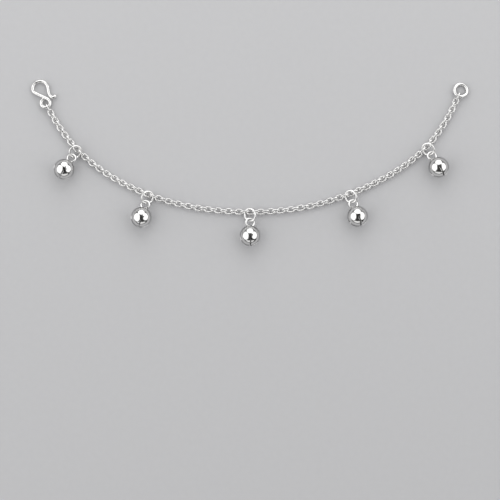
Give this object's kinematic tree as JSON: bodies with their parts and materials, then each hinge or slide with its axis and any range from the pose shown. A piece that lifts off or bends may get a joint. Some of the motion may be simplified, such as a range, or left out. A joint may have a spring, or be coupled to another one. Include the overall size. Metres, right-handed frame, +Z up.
{
  "type": "payal anklet",
  "caption": "Open anklet of polished metal: a cable chain with an S-shaped hook at one end, a closed ring at the other and round slit bells hung on jump rings.",
  "frame": {"origin": "middle of the anklet's box in plan, on the surface that it lies on", "axes": "+Z up, +X from the hook towards the end ring, +Y from the bells towards the open ends"},
  "size_m": [0.2186, 0.083, 0.0101],
  "materials": {
    "polished_silver": "polished"
  },
  "bodies": {
    "root": {"s_hook": "polished_silver", "chain": "polished_silver", "end_ring": "polished_silver", "jump_ring_1": "polished_silver", "jump_ring_2": "polished_silver", "jump_ring_3": "polished_silver", "jump_ring_4": "polished_silver", "jump_ring_5": "polished_silver", "bell_1": "polished_silver", "bell_2": "polished_silver", "bell_3": "polished_silver", "bell_4": "polished_silver", "bell_5": "polished_silver"}
  },
  "joints": []
}
